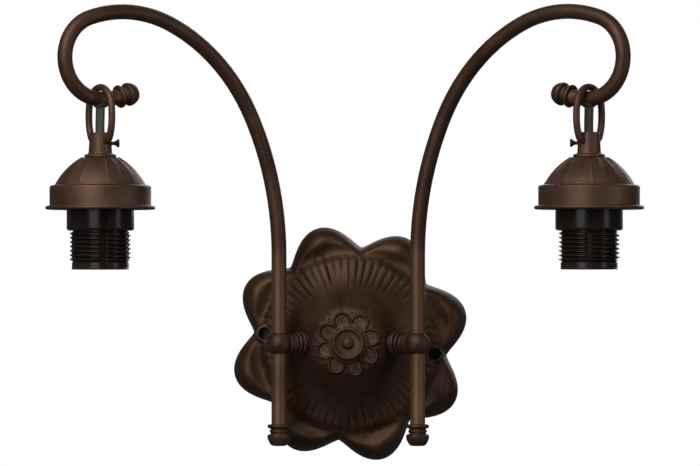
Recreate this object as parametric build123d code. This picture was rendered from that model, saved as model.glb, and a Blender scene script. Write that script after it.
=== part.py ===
from build123d import *
import math
import os

# Two-light wall sconce in millimetres. The origin is the middle of the backplate's back
# edge, on the wall plane. The front faces -Y and up is +Z. The right half is modelled and
# the left half is its mirror image.

# Running and seating clearances
running_clearance = 0.05
seat_clearance = 0.05
hanging_clearance = 0.3
cut_overrun = 1.0

# Backplate: an eight-petal cast flower with a bell-shaped middle
petal_count = 8
petal_turn = 15.7
plate_tip_r = 76.2
plate_valley_r = 61.5
plate_wall = 2.5
plate_rim_h = 2.0
plate_rim_wall = 3.0
bell_top_h = 42.0
bell_flat_r = 18.0
bell_foot_r = 48.0
bell_foot_h = 17.5
plate_hole_r = 4.0
plate_hole_circle_r = 54.5
plate_hole_turn = -6.8

# Outline of the bell: share of the way out to its foot, share of the height above the foot
bell_shares = ((0.16, 0.90), (0.35, 0.62), (0.55, 0.34), (0.78, 0.12))
# Outline of a petal: share of the way from foot to rim, share of the foot's height
petal_crown_shares = ((0.25, 0.62), (0.45, 0.70), (0.64, 0.80), (0.86, 0.56))
petal_valley_shares = ((0.22, 0.95), (0.45, 0.86), (0.68, 0.72), (0.88, 0.44))
# Stations of the loft across half a petal, as shares of its half angle
petal_station_shares = (-1.0, -0.78, -0.42, 0.0, 0.42, 0.78, 1.0)
petal_blend_power = 1.6

# Rosette in front of the bell
rosette_r = 20.5
rosette_petal_r = 5.6
rosette_hub_r = 13.0
rosette_h = 4.0
rosette_dish_depth = 1.6
rosette_dish_r = 4.2
rosette_sepal_r = 2.4
rosette_sepal_h = 2.6

# Knob that draws the plate to the wall
knob_r = 10.75
knob_rim = 2.8
knob_disc_h = 5.0
knob_dish_depth = 1.5
knob_button_r = 4.0
knob_button_h = 2.6
knob_hub_r = 7.5
knob_hub_h = 2.0

# Threaded tube of the fitting, called a nipple in the trade
nipple_r = 4.85
nipple_bore_r = 3.6
nipple_nut_flat = 14.3
nipple_nut_h = 4.0
knob_grip = 4.6

# Steel strap behind the plate
strap_length = 98.0
strap_width = 20.0
strap_thickness = 2.4
strap_slot_inner = 69.85
strap_slot_outer = 88.9
strap_slot_r = 2.4
ground_screw_r = 2.4
ground_screw_head_r = 4.4
ground_screw_head_h = 2.6
ground_screw_offset = 18.0

# Arm of bent tube
tube_r = 4.7625
tube_wall = 0.9
arm_end_z = -51.0
crook_start_z = 56.0
crook_radii = (193.0, 123.0, 84.0, 26.0, 57.0)
crook_turns = (27.0, 39.0, 42.0, 162.0, 13.0)
arcs_count_to_low_point = 4
crook_angle = 35.0
wire_hole_r = 2.8

# Turned finial on each end of the tube
finial_ring_r = 7.5
finial_ring_h = 2.5
finial_neck_r = 5.5
finial_neck_h = 3.8
finial_button_r = 7.35
finial_button_h = 7.5
finial_flat_r = 4.2
finial_lip_share = 0.35
finial_plug_h = 3.0

# Ball that the arm passes through, and the flared coupling between ball and plate
ball_r = 8.0
ball_neck_r = 6.0
ball_neck_reach = 9.6
coupling_angle = 35.0
coupling_stand = 18.0
coupling_sink = 4.0
coupling_seat_out_share = 0.3685
coupling_seat_up_share = 0.5786
coupling_step_lengths = (1.8, 1.0, 2.0, 1.2)
coupling_step_radii = (6.4, 5.4, 7.2, 6.2, 8.0)
arm_nipple_gap = 1.6
arm_nipple_proud = 1.4
arm_nut_gap = 0.2

# Grommet where the cord leaves the tube
grommet_r = 4.0
grommet_stem_r = 3.35
grommet_bore_r = 3.0
grommet_lip = 0.6

# Oval link that hangs on the crook
link_wire_r = 2.2
link_height = 33.4
link_pin_reach = 6.9
link_corner_r = 4.5
link_corner_turn = 65.0
link_side_r = 28.0
link_shoulder_r = 30.0
link_shoulder_turn = 12.0

# Flat two-conductor cord
cord_width = 5.8
cord_thickness = 3.0
cord_end_drop = 1.0

# Collar at the top of the lamp holder
collar_top_r = 6.75
collar_foot_r = 7.4
collar_rise = 5.3
collar_drop = 7.8
collar_flange_r = 10.0
collar_flange_h = 2.5
collar_bore_r = 4.6
collar_thread_rise = 3.4

# Thumb screw in the side of the collar
thumb_angle = 125.0
thumb_drop = 1.5
thumb_stem_r = 1.15
thumb_head_r = 2.65
thumb_head_h = 1.5
thumb_flare_h = 1.9
thumb_stand = 4.7
thumb_tip_r = 5.0

# Fluted dome cover
cover_top_r = 13.3
cover_dome_r = 28.2
cover_dome_h = 17.6
cover_band_r = 31.75
cover_shoulder_h = 2.2
cover_band_h = 11.0
cover_rim_r = 34.5
cover_rim_h = 1.9
cover_wall = 1.2
cover_hole_r = 5.2
cover_bulge_share = 0.72
cover_bulge_drop_share = 0.42
flute_count = 18
flute_r = 2.6
flute_depth = 0.7
flute_fade = 0.15

# Lamp holder: heights are drops below the link's pin axis
holder_top_drop = 33.0
holder_collar_drop = 56.0
holder_thread_drop = 75.5
holder_lip_drop = 80.3
holder_collar_r = 20.85
holder_thread_r = 19.05
holder_lip_r = 17.35
holder_bore_r = 14.9
holder_roof = 4.0
holder_chamfer = 1.2
shell_r = 13.7
shell_wall = 0.5
shell_inset = 2.3
wiring_space = 10.0
carrier_h = 7.0
carrier_recess_h = 1.0
recess_share = 0.2
contact_pocket_r = 9.0
contact_pocket_h = 4.5
contact_width = 6.0
contact_length = 16.0
contact_thickness = 0.6
contact_stand = 3.5
terminal_screw_r = 1.6
terminal_head_r = 3.2
terminal_head_h = 1.8
terminal_offset = 9.2
terminal_stem_h = 2.2


def lerp(a, b, share):
    """The value at a share of the way from a to b."""
    return a + (b - a) * share


# Places that follow from the sizes: the coupling's seat on the bell's flank, and the arm
flank_r = lerp(bell_flat_r, bell_foot_r, coupling_seat_out_share)
flank_h = lerp(bell_foot_h, bell_top_h, coupling_seat_up_share)
arm_x = flank_r + coupling_stand * math.cos(math.radians(coupling_angle))
arm_y = -flank_h - coupling_stand * math.sin(math.radians(coupling_angle))

# Heights inside the lamp holder, below the link's pin axis
carrier_top = holder_top_drop + holder_roof + wiring_space
carrier_low = carrier_top + carrier_h
shell_low = holder_lip_drop - shell_inset


def turned(points):
    """A solid of revolution about Z from (radius, height) points joined by straight lines."""
    outline = Polyline(*[(r, 0, h) for r, h in points], close=True)
    return revolve(make_face(outline), axis=Axis.Z)


def pillar(radius, low, high):
    """A cylinder about Z from one height to another."""
    return Pos(0, 0, low) * Cylinder(radius, high - low, align=(Align.CENTER, Align.CENTER, Align.MIN))


def pipe(outer, inner, low, high):
    """A straight tube about Z from one height to another."""
    return pillar(outer, low, high) - pillar(inner, low - cut_overrun, high + cut_overrun)


def hex_nut(flat, bore, low, high):
    """A hexagonal nut about Z."""
    blank = extrude(RegularPolygon(flat / 2, 6, major_radius=False), high - low)
    return Pos(0, 0, low) * blank - pillar(bore, low - cut_overrun, high + cut_overrun)


def from_wall(shape):
    """Turns a shape modelled lying on XY, front up, to stand on the wall facing -Y."""
    return Rot(X=90) * shape


# Backplate


def lobe_radius(angle):
    """The petal outline's distance from the middle, angle degrees from the petal's own line."""
    half = math.radians(180 / petal_count)
    valley_x = plate_valley_r * math.cos(half)
    valley_y = plate_valley_r * math.sin(half)
    span = plate_tip_r**2 - valley_x**2 - valley_y**2
    centre = span / (2 * (plate_tip_r - valley_x))
    lobe = plate_tip_r - centre
    a = math.radians(angle)
    return centre * math.cos(a) + math.sqrt(lobe**2 - (centre * math.sin(a)) ** 2)


def petal_front(station):
    """Front outline at a station across the petal: radius and height from bell to rim."""
    rim_r = lobe_radius(station * 180 / petal_count)
    blend = abs(station) ** petal_blend_power
    points = [(bell_flat_r, bell_top_h)]
    for out, up in bell_shares:
        points.append((lerp(bell_flat_r, bell_foot_r, out), lerp(bell_foot_h, bell_top_h, up)))
    points.append((bell_foot_r, bell_foot_h))
    for crown, valley in zip(petal_crown_shares, petal_valley_shares):
        out = lerp(crown[0], valley[0], blend)
        up = lerp(crown[1], valley[1], blend)
        points.append((lerp(bell_foot_r, rim_r, out), bell_foot_h * up))
    points.append((rim_r, plate_rim_h))
    return points


def petal_section(station):
    """Closed section of the cast shell in the radial plane at a station across the petal."""
    front = petal_front(station)
    rim_r = front[-1][0]
    eye_r = nipple_r + seat_clearance
    back = [(r - plate_wall / 2, h - plate_wall) for r, h in front[1:-2]]
    back_start = (bell_flat_r - plate_wall / 2, bell_top_h - plate_wall)
    foot_h = front[-2][1] - plate_wall
    foot_r = rim_r - plate_rim_wall
    plane = Plane((0, 0, 0), x_dir=Vector(1, 0, 0).rotate(Axis.Z, station * 180 / petal_count),
                  z_dir=Vector(0, -1, 0).rotate(Axis.Z, station * 180 / petal_count))
    outline = Curve() + [
        Line((eye_r, bell_top_h), front[0]),
        Spline(*front, tangents=[(1, 0), (0, -1)], tangent_scalars=[0.5, 0.5]),
        Line((rim_r, plate_rim_h), (rim_r, 0)),
        Line((rim_r, 0), (foot_r, 0)),
        Line((foot_r, 0), (foot_r, plate_rim_h)),
        Spline((foot_r, plate_rim_h), (lerp(foot_r, back[-1][0], 0.5), lerp(plate_rim_h, foot_h, 0.8)),
               *reversed(back), back_start),
        Line(back_start, (eye_r, bell_top_h - plate_wall)),
        Line((eye_r, bell_top_h - plate_wall), (eye_r, bell_top_h)),
    ]
    return plane * make_face(outline)


def flower_blank():
    """The eight lofted petals joined about the middle, lying on XY."""
    petal = loft([petal_section(station) for station in petal_station_shares])
    turns = [petal_turn + 360 / petal_count * k for k in range(petal_count)]
    return Part() + [Rot(Z=turn) * petal for turn in turns]


def coupling_axis():
    """Frame with its origin at the right ball's centre and +Z towards the plate."""
    a = math.radians(coupling_angle)
    return Plane((arm_x, arm_y, 0), x_dir=(0, 0, 1), z_dir=(-math.cos(a), math.sin(a), 0))


def arm_nut_reach():
    """Distance from the ball's centre to the nut behind the bell's sloping wall."""
    low, high = bell_shares[2], bell_shares[1]
    rise = (high[1] - low[1]) * (bell_top_h - bell_foot_h)
    run = (low[0] - high[0]) * (bell_foot_r - bell_flat_r)
    slant = abs(math.atan2(run, rise) - math.radians(coupling_angle))
    corner = nipple_nut_flat / 2 / math.cos(math.pi / 6)
    return coupling_stand + plate_wall + corner * math.tan(slant) + arm_nut_gap


def arm_nipple_end():
    """Distance from the ball's centre to the end of the nipple inside the bell."""
    return arm_nut_reach() + nipple_nut_h + arm_nipple_proud


def make_backplate():
    plate = flower_blank()
    for turn in (plate_hole_turn, plate_hole_turn + 180):
        hole = pillar(plate_hole_r, -cut_overrun, bell_top_h)
        plate -= Rot(Z=turn) * Pos(plate_hole_circle_r, 0, 0) * hole
    plate = from_wall(plate)
    bore = coupling_axis() * pillar(nipple_r + seat_clearance, ball_neck_reach, arm_nipple_end())
    return plate - bore - mirror(bore, about=Plane.YZ)


# Pieces at the middle of the plate


def make_rosette():
    flower = pillar(rosette_hub_r, 0, rosette_h)
    petal_place = rosette_r - rosette_petal_r
    for k in range(petal_count):
        turn = petal_turn + 360 / petal_count * k
        petal = Pos(petal_place, 0, 0) * pillar(rosette_petal_r, 0, rosette_h)
        dish = Pos(petal_place, 0, rosette_h) * Cone(
            rosette_dish_r / 2, rosette_dish_r, rosette_dish_depth,
            align=(Align.CENTER, Align.CENTER, Align.MAX))
        sepal = Rot(Z=180 / petal_count) * Pos(rosette_r - rosette_sepal_r, 0, 0)
        sepal *= pillar(rosette_sepal_r, 0, rosette_sepal_h)
        flower += Rot(Z=turn) * petal
        flower += Rot(Z=turn) * sepal
        flower -= Rot(Z=turn) * dish
    flower -= pillar(nipple_r + seat_clearance, -cut_overrun, rosette_h + cut_overrun)
    return from_wall(Pos(0, 0, bell_top_h) * flower)


def make_knob():
    base = bell_top_h + rosette_h
    disc_top = base + knob_hub_h + knob_disc_h
    dish_floor = disc_top - knob_dish_depth
    body = turned([
        (0, base), (knob_hub_r, base), (knob_hub_r, base + knob_hub_h),
        (knob_r - knob_rim / 2, base + knob_hub_h), (knob_r, lerp(base + knob_hub_h, disc_top, 0.4)),
        (knob_r, lerp(base + knob_hub_h, disc_top, 0.8)), (knob_r - knob_rim / 2, disc_top),
        (knob_r - knob_rim, lerp(disc_top, dish_floor, 0.4)), (knob_button_r, dish_floor),
        (knob_button_r, lerp(dish_floor, dish_floor + knob_button_h, 0.7)),
        (knob_button_r / 2, dish_floor + knob_button_h), (0, dish_floor + knob_button_h),
    ])
    socket = pillar(nipple_r + running_clearance, base - cut_overrun, base + knob_grip)
    return from_wall(body - socket)


def make_centre_nipple():
    grip = knob_grip - seat_clearance
    tube = pipe(nipple_r, nipple_bore_r, 0, bell_top_h + rosette_h + grip)
    return from_wall(tube)


def make_centre_nut():
    return from_wall(hex_nut(nipple_nut_flat, nipple_r + seat_clearance,
                             strap_thickness, strap_thickness + nipple_nut_h))


def make_strap():
    bar = Pos(0, 0, strap_thickness / 2) * Box(strap_length, strap_width, strap_thickness)
    bar = fillet(bar.edges().filter_by(Axis.Z), strap_width / 4)
    bar -= pillar(nipple_r + seat_clearance, -cut_overrun, strap_thickness + cut_overrun)
    slot_length = (strap_slot_outer - strap_slot_inner) / 2
    slot_middle = (strap_slot_outer + strap_slot_inner) / 4
    slot = extrude(SlotCenterToCenter(slot_length, strap_slot_r * 2), strap_thickness + cut_overrun * 2)
    for side in (-1, 1):
        bar -= Pos(side * slot_middle, 0, -cut_overrun) * slot
    bar -= Pos(ground_screw_offset, 0, 0) * pillar(
        ground_screw_r + seat_clearance, -cut_overrun, strap_thickness + cut_overrun)
    return from_wall(bar)


def make_ground_screw():
    head = pillar(ground_screw_head_r, strap_thickness, strap_thickness + ground_screw_head_h)
    slot = Pos(0, 0, strap_thickness + ground_screw_head_h) * Box(
        ground_screw_head_r * 3, ground_screw_head_r / 4, ground_screw_head_h / 2)
    screw = head + pillar(ground_screw_r, 0, strap_thickness) - slot
    return from_wall(Pos(ground_screw_offset, 0, 0) * screw)


# Arm


def crook_plane():
    """Frame of the crook: local X is outward, local Y is up."""
    a = math.radians(crook_angle)
    outward = (math.cos(a), -math.sin(a), 0)
    return Plane((arm_x, arm_y, 0), x_dir=outward, z_dir=(-math.sin(a), -math.cos(a), 0))


def crook_edges():
    """The arm's middle line in the crook's own frame: a straight run, then tangent arcs."""
    run = Line((0, arm_end_z), (0, crook_start_z))
    edges = [run]
    point, direction = run @ 1, run % 1
    for radius, turn in zip(crook_radii, crook_turns):
        arc = JernArc(point, direction, radius, -turn)
        edges.append(arc)
        point, direction = arc @ 1, arc % 1
    return edges


def low_point():
    """The lowest point of the crook's middle line, where the link hangs."""
    arc = crook_edges()[arcs_count_to_low_point]
    return crook_plane().from_local_coords(arc @ 1)


def arm_end_planes():
    """Frames at the tube's lower end and at its tip, with +Z pointing out of the tube."""
    path = Wire(crook_edges())
    frame = crook_plane()
    ends = []
    for at, sign in ((0, -1), (1, 1)):
        point = frame.from_local_coords(path @ at)
        ahead = frame.from_local_coords(path @ at + (path % at) * sign) - point
        ends.append(Plane(point, z_dir=ahead))
    return ends


def swept_crook(radius):
    path = Wire([crook_plane() * edge for edge in crook_edges()])
    section = Plane(path @ 0, z_dir=path % 0) * Circle(radius)
    return sweep(section, path=path)


def link_frame():
    """Frame of the right lamp: origin on the link's pin axis, which lies along local X."""
    point = low_point()
    a = math.radians(crook_angle)
    drop = link_height - link_wire_r - tube_r - hanging_clearance
    origin = (point.X, point.Y, point.Z - drop)
    return Plane(origin, x_dir=(math.sin(a), math.cos(a), 0), z_dir=(0, 0, 1))


def tube_above_pin():
    """Height of the tube's middle above the link's pin axis."""
    return link_height - link_wire_r - tube_r - hanging_clearance


def make_arm():
    tube = swept_crook(tube_r) - swept_crook(tube_r - tube_wall)
    tube -= coupling_axis() * pillar(wire_hole_r, 0, tube_r * 2)
    exit_hole = pillar(grommet_stem_r + seat_clearance, 0, tube_above_pin())
    return tube - link_frame() * exit_hole


def finial():
    """A turned finial standing on its plug, its ring's back face at zero."""
    ring_top = finial_ring_h
    neck_top = ring_top + finial_neck_h
    top = neck_top + finial_button_h
    lip = lerp(neck_top, top, finial_lip_share)
    plug_r = tube_r - tube_wall - seat_clearance
    round_over = finial_ring_h / 4
    return turned([
        (0, -finial_plug_h), (plug_r, -finial_plug_h), (plug_r, 0),
        (finial_ring_r - round_over, 0), (finial_ring_r, round_over),
        (finial_ring_r, ring_top - round_over), (finial_ring_r - round_over, ring_top),
        (finial_neck_r, ring_top), (finial_neck_r, neck_top),
        (lerp(finial_neck_r, finial_button_r, 0.7), neck_top), (finial_button_r, lerp(neck_top, lip, 0.5)),
        (finial_button_r, lip), (lerp(finial_button_r, finial_flat_r, 0.4), lerp(lip, top, 0.6)),
        (finial_flat_r, top), (0, top),
    ])


def make_bottom_finial():
    return arm_end_planes()[0] * finial()


def make_tip_finial():
    return arm_end_planes()[1] * finial()


def make_grommet():
    """A liner through the tube's wall with a lip that follows the tube's round underside."""
    rise = tube_above_pin()
    along_tube = Rot(X=90)
    length = grommet_r * 4
    lip_skin = Cylinder(tube_r + grommet_lip, length) - Cylinder(tube_r, length)
    liner_skin = Cylinder(tube_r, length) - Cylinder(tube_r - tube_wall, length)
    lip = (along_tube * lip_skin) & pillar(grommet_r, -rise, 0)
    liner = (along_tube * liner_skin) & pillar(grommet_stem_r, -rise, 0)
    ring = lip + liner - pillar(grommet_bore_r, -rise, 0)
    return link_frame() * Pos(0, 0, rise) * ring


def make_ball():
    """The ball with its vertical bore for the arm and the neck that meets the coupling."""
    frame = coupling_axis()
    body = frame * (Sphere(ball_r) + pillar(ball_neck_r, ball_neck_r / 2, ball_neck_reach))
    body -= frame * pillar(nipple_r + seat_clearance, 0, ball_neck_reach + cut_overrun)
    return body - Pos(arm_x, arm_y, 0) * Cylinder(tube_r + running_clearance, ball_r * 3)


def make_coupling(backplate):
    """Stepped rings that flare towards the plate, their foot fitted to the bell's flank."""
    reach = ball_neck_reach
    end = coupling_stand + coupling_sink
    points = [(0, reach)]
    for radius, length in zip(coupling_step_radii, coupling_step_lengths):
        points.append((radius, reach))
        reach += length
        points.append((radius, reach))
    points += [(coupling_step_radii[-1], reach), (coupling_step_radii[-1], end), (0, end)]
    body = coupling_axis() * turned(points)
    body -= coupling_axis() * pillar(nipple_r + seat_clearance, 0, end + cut_overrun)
    pieces = (body - backplate).solids()
    return max(pieces, key=lambda piece: piece.volume)


def make_arm_nipple():
    return coupling_axis() * pipe(nipple_r, nipple_bore_r, tube_r + arm_nipple_gap, arm_nipple_end())


def make_arm_nut():
    low = arm_nut_reach()
    return coupling_axis() * hex_nut(nipple_nut_flat, nipple_r + seat_clearance, low, low + nipple_nut_h)


# Link and cord


def link_half():
    """Half of the link's middle line in the XZ plane, from the bore's side to the top."""
    start = collar_bore_r + seat_clearance
    run = Line((start, 0, 0), (link_pin_reach, 0, 0))
    corner = JernArc(run @ 1, (1, 0, 0), link_corner_r, link_corner_turn)
    side = JernArc(corner @ 1, corner % 1, link_side_r, 90 - link_corner_turn)
    crown_turn = 90 - link_shoulder_turn
    shoulder_in = link_shoulder_r * (1 - math.cos(math.radians(link_shoulder_turn)))
    shoulder_up = link_shoulder_r * math.sin(math.radians(link_shoulder_turn))
    crown_r = ((side @ 1).X - shoulder_in) / math.cos(math.radians(link_shoulder_turn))
    crown_up = crown_r * (1 - math.sin(math.radians(link_shoulder_turn)))
    straight = link_height - (side @ 1).Y - shoulder_up - crown_up
    wall = Line(side @ 1, (side @ 1) + Vector(0, straight, 0))
    shoulder = JernArc(wall @ 1, (0, 1, 0), link_shoulder_r, link_shoulder_turn)
    crown = JernArc(shoulder @ 1, shoulder % 1, crown_r, crown_turn)
    return [run, corner, side, wall, shoulder, crown]


def make_link():
    half = [Rot(X=90) * edge for edge in link_half()]
    path = Wire(half)
    section = Plane(path @ 0, z_dir=path % 0) * Circle(link_wire_r)
    bar = sweep(section, path=path)
    return link_frame() * (bar + mirror(bar, about=Plane.YZ))


def make_cord():
    """The cord's hanging stretch, its top cut round to clear the tube as the link swings."""
    rise = tube_above_pin()
    lobe_r = cord_thickness / 2
    lobe_x = cord_width / 2 - lobe_r
    height = rise + cord_end_drop
    cord = Pos(0, 0, -cord_end_drop) * extrude(SlotCenterToCenter(lobe_x * 2, cord_thickness), height)
    groove = Rot(Z=45) * Box(lobe_r / 2, lobe_r / 2, height * 3)
    for side in (-1, 1):
        cord -= Pos(0, side * lobe_r, 0) * groove
    gap = tube_r + grommet_lip + hanging_clearance
    cord -= Pos(0, 0, rise) * Rot(X=90) * Cylinder(gap, cord_width * 3)
    return link_frame() * cord


# Lamp, modelled with the pin axis along X through the origin


def make_collar():
    foot = -collar_drop
    flange = foot - collar_flange_h
    body = turned([
        (0, flange), (collar_flange_r, flange), (collar_flange_r, foot - collar_flange_h / 4),
        (collar_flange_r - collar_flange_h / 4, foot), (collar_foot_r, foot),
        (collar_top_r, collar_rise), (0, collar_rise),
    ])
    body -= pillar(collar_bore_r, -collar_drop, collar_rise + cut_overrun)
    body -= pillar(nipple_r + seat_clearance, flange - cut_overrun, foot + collar_thread_rise)
    pin_hole = Rot(Y=90) * Cylinder(link_wire_r + running_clearance, collar_foot_r * 3)
    body -= pin_hole
    screw_hole = pillar(thumb_stem_r + running_clearance, 0, collar_foot_r * 2)
    body -= thumb_frame() * screw_hole
    return link_frame() * body


def thumb_frame():
    """Frame on the thumb screw's axis in the lamp's own frame, +Z pointing out of the collar."""
    a = math.radians(thumb_angle)
    return Plane((0, 0, -thumb_drop), z_dir=(math.cos(a), math.sin(a), 0))


def make_thumb_screw():
    surface = collar_foot_r
    tip = surface + thumb_stand
    head = tip - thumb_head_h
    flare = head - thumb_flare_h
    screw = turned([
        (0, thumb_tip_r), (thumb_stem_r, thumb_tip_r), (thumb_stem_r, flare),
        (lerp(thumb_stem_r, thumb_head_r, 0.35), lerp(flare, head, 0.6)), (thumb_head_r, head),
        (thumb_head_r, lerp(head, tip, 0.5)), (lerp(thumb_stem_r, thumb_head_r, 0.6), tip), (0, tip),
    ])
    return link_frame() * thumb_frame() * screw


def cover_outline(inset):
    """Points of the dome cover's outside, or of its inside at a wall's thickness."""
    top = -collar_drop - collar_flange_h
    dome = top - cover_dome_h
    band = dome - cover_shoulder_h
    skirt = band - cover_band_h
    arc_mid_r = lerp(cover_top_r, cover_dome_r, cover_bulge_share)
    arc_mid_h = lerp(top, dome, cover_bulge_drop_share)
    edges = [
        Line((cover_hole_r, 0, top - inset), (cover_top_r - inset, 0, top - inset)),
        ThreePointArc((cover_top_r - inset, 0, top - inset), (arc_mid_r - inset, 0, arc_mid_h - inset),
                      (cover_dome_r - inset, 0, dome - inset)),
        Line((cover_dome_r - inset, 0, dome - inset), (cover_band_r - inset, 0, band - inset)),
        Line((cover_band_r - inset, 0, band - inset), (cover_band_r - inset, 0, skirt)),
    ]
    return edges, skirt


def flute_cutter():
    """A round bar bent along the dome: it bites at the dome's top and lifts clear at its base."""
    dome = cover_outline(0)[0][1]
    points = []
    for at, lift in ((0, -flute_depth), (0.5, -flute_depth), (1, flute_fade)):
        ahead = dome % at
        points.append(dome @ at + Vector(-ahead.Z, 0, ahead.X) * (flute_r + lift))
    arc = ThreePointArc(*points)
    lead = Line(arc @ 0 - (arc % 0) * flute_r, arc @ 0)
    path = Wire([lead, arc])
    section = Plane(path @ 0, z_dir=path % 0) * Circle(flute_r)
    return sweep(section, path=path)


def make_cover():
    outside, skirt = cover_outline(0)
    inside, _ = cover_outline(cover_wall)
    low = skirt - cover_rim_h
    rim = Polyline((cover_band_r, 0, skirt), (cover_rim_r, 0, skirt), (cover_rim_r, 0, low),
                   (cover_band_r - cover_wall, 0, low), (cover_band_r - cover_wall, 0, skirt))
    top = Line(outside[0] @ 0, inside[0] @ 0)
    shell = revolve(make_face(Curve() + outside + inside + [rim, top]), axis=Axis.Z)
    cutter = flute_cutter()
    shell -= [Rot(Z=360 / flute_count * k) * cutter for k in range(flute_count)]
    return link_frame() * shell


def make_lamp_nipple():
    low = -holder_top_drop - holder_roof
    high = -collar_drop + collar_thread_rise - seat_clearance
    return link_frame() * pipe(nipple_r, nipple_bore_r, low, high)


def make_cover_nut():
    high = -collar_drop - collar_flange_h - cover_wall
    return link_frame() * hex_nut(nipple_nut_flat, nipple_r + seat_clearance, high - nipple_nut_h, high)


def make_holder():
    """The moulded lamp holder: a ledge under the cover, the barrel and its plain lip."""
    top = -holder_top_drop
    body = turned([
        (0, top), (holder_collar_r - holder_chamfer, top), (holder_collar_r, top - holder_chamfer),
        (holder_collar_r, -holder_collar_drop + holder_chamfer),
        (holder_collar_r - holder_chamfer, -holder_collar_drop), (holder_thread_r, -holder_collar_drop),
        (holder_thread_r, -holder_thread_drop), (holder_lip_r, -holder_thread_drop),
        (holder_lip_r, -holder_lip_drop), (0, -holder_lip_drop),
    ])
    body -= pillar(holder_bore_r, -holder_lip_drop - cut_overrun, top - holder_roof)
    body -= pillar(nipple_r + seat_clearance, top - holder_roof - cut_overrun, top + cut_overrun)
    return link_frame() * body


def make_screw_shell():
    """The threaded metal sleeve that takes the bulb's cap."""
    sleeve = pipe(shell_r, shell_r - shell_wall, -shell_low, -carrier_low)
    flange = pipe(holder_bore_r - seat_clearance, shell_r - shell_wall, -shell_low, shell_wall - shell_low)
    return link_frame() * (sleeve + flange)


def make_contact_carrier():
    """The insulating block that closes the sleeve and holds the contacts."""
    block = pillar(holder_bore_r - seat_clearance, -carrier_low, -carrier_top)
    for side in (-1, 1):
        block -= Pos(0, side * terminal_offset, 0) * pillar(
            terminal_screw_r + seat_clearance, -carrier_top - terminal_stem_h, cut_overrun - carrier_top)
    recess_r = lerp(shell_r - shell_wall, shell_r, recess_share)
    block -= pillar(recess_r, -carrier_low - cut_overrun, carrier_recess_h - carrier_low)
    block -= pillar(contact_pocket_r, -carrier_low, contact_pocket_h - carrier_low)
    return link_frame() * block


def make_centre_contact():
    """The spring tongue that touches the middle of the bulb's cap."""
    ceiling = contact_pocket_h - carrier_low
    leaf = Pos(0, 0, ceiling - contact_thickness / 2) * Box(contact_length, contact_width, contact_thickness)
    pad = pillar(contact_width / 2, ceiling - contact_stand, ceiling - contact_thickness)
    return link_frame() * (leaf + pad)


def make_terminal_screws():
    """Two screws on top of the carrier, where the cord's conductors end."""
    deck = -carrier_top
    screw = pillar(terminal_head_r, deck, deck + terminal_head_h)
    screw += pillar(terminal_screw_r, deck - terminal_stem_h, deck)
    screw -= Pos(0, 0, deck + terminal_head_h) * Box(terminal_head_r * 3, terminal_screw_r / 2, terminal_head_h)
    pair = [Pos(0, side * terminal_offset, 0) * screw for side in (-1, 1)]
    return link_frame() * Compound(children=pair)


def write(name, shape):
    export_step(shape, os.path.join("parts", name + ".step"))


def main():
    os.makedirs("parts", exist_ok=True)
    backplate = make_backplate()
    middle = {
        "backplate": backplate,
        "rosette": make_rosette(),
        "knob": make_knob(),
        "centre_nipple": make_centre_nipple(),
        "centre_nut": make_centre_nut(),
        "crossbar": make_strap(),
        "ground_screw": make_ground_screw(),
    }
    side = {
        "coupling": make_coupling(backplate),
        "ball": make_ball(),
        "arm_nipple": make_arm_nipple(),
        "arm_nut": make_arm_nut(),
        "arm": make_arm(),
        "bottom_finial": make_bottom_finial(),
        "tip_finial": make_tip_finial(),
        "grommet": make_grommet(),
        "link": make_link(),
        "cord": make_cord(),
        "collar": make_collar(),
        "thumb_screw": make_thumb_screw(),
        "dome_cover": make_cover(),
        "lamp_nipple": make_lamp_nipple(),
        "cover_nut": make_cover_nut(),
        "lamp_holder": make_holder(),
        "screw_shell": make_screw_shell(),
        "contact_carrier": make_contact_carrier(),
        "centre_contact": make_centre_contact(),
        "terminal_screws": make_terminal_screws(),
    }
    for name, shape in middle.items():
        write(name, shape)
    for name, shape in side.items():
        write("right_" + name, shape)
        write("left_" + name, mirror(shape, about=Plane.YZ))


main()
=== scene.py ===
import math
import random

import bpy
import bmesh
import numpy as np
from mathutils import Matrix, Vector


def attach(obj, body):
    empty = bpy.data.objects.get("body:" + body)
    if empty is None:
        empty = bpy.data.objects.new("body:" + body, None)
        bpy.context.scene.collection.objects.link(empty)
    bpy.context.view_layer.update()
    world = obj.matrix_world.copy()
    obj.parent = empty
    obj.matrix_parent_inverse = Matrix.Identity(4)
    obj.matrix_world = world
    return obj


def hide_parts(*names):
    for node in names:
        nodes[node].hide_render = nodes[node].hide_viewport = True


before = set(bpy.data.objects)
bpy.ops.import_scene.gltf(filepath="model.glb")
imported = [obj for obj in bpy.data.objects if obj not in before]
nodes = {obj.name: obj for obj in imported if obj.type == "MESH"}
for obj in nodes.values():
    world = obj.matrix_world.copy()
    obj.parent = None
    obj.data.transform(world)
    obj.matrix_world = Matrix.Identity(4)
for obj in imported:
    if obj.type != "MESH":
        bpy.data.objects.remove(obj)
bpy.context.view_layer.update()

# Lengths are millimetres, and MM turns them into metres.
MM = 0.001
SIDES = (("left", -1), ("right", 1))

# Places that the pieces share with the solids
ARM_X, ARM_Y = 43.8, -42.0
ARM_FOOT_Z = -51.0
CROOK_ANGLE = math.radians(35.0)
COUPLING_ANGLE = math.radians(35.0)
LAMP_X, LAMP_Y = 152.4931, -118.1077
PIN_Z = 126.4314
TIP = (141.9904, -110.7534, 154.0295)
TIP_OUTWARD, TIP_UP = -0.9744, 0.2250
BELL_TOP = 42.0
NIPPLE_HOLE_R = 4.9

# Points nearer than WELD become one. FINE_WELD is for cutters and for edges of no length
WELD, FINE_WELD = 0.002, 0.001


# Mesh helpers


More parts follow.
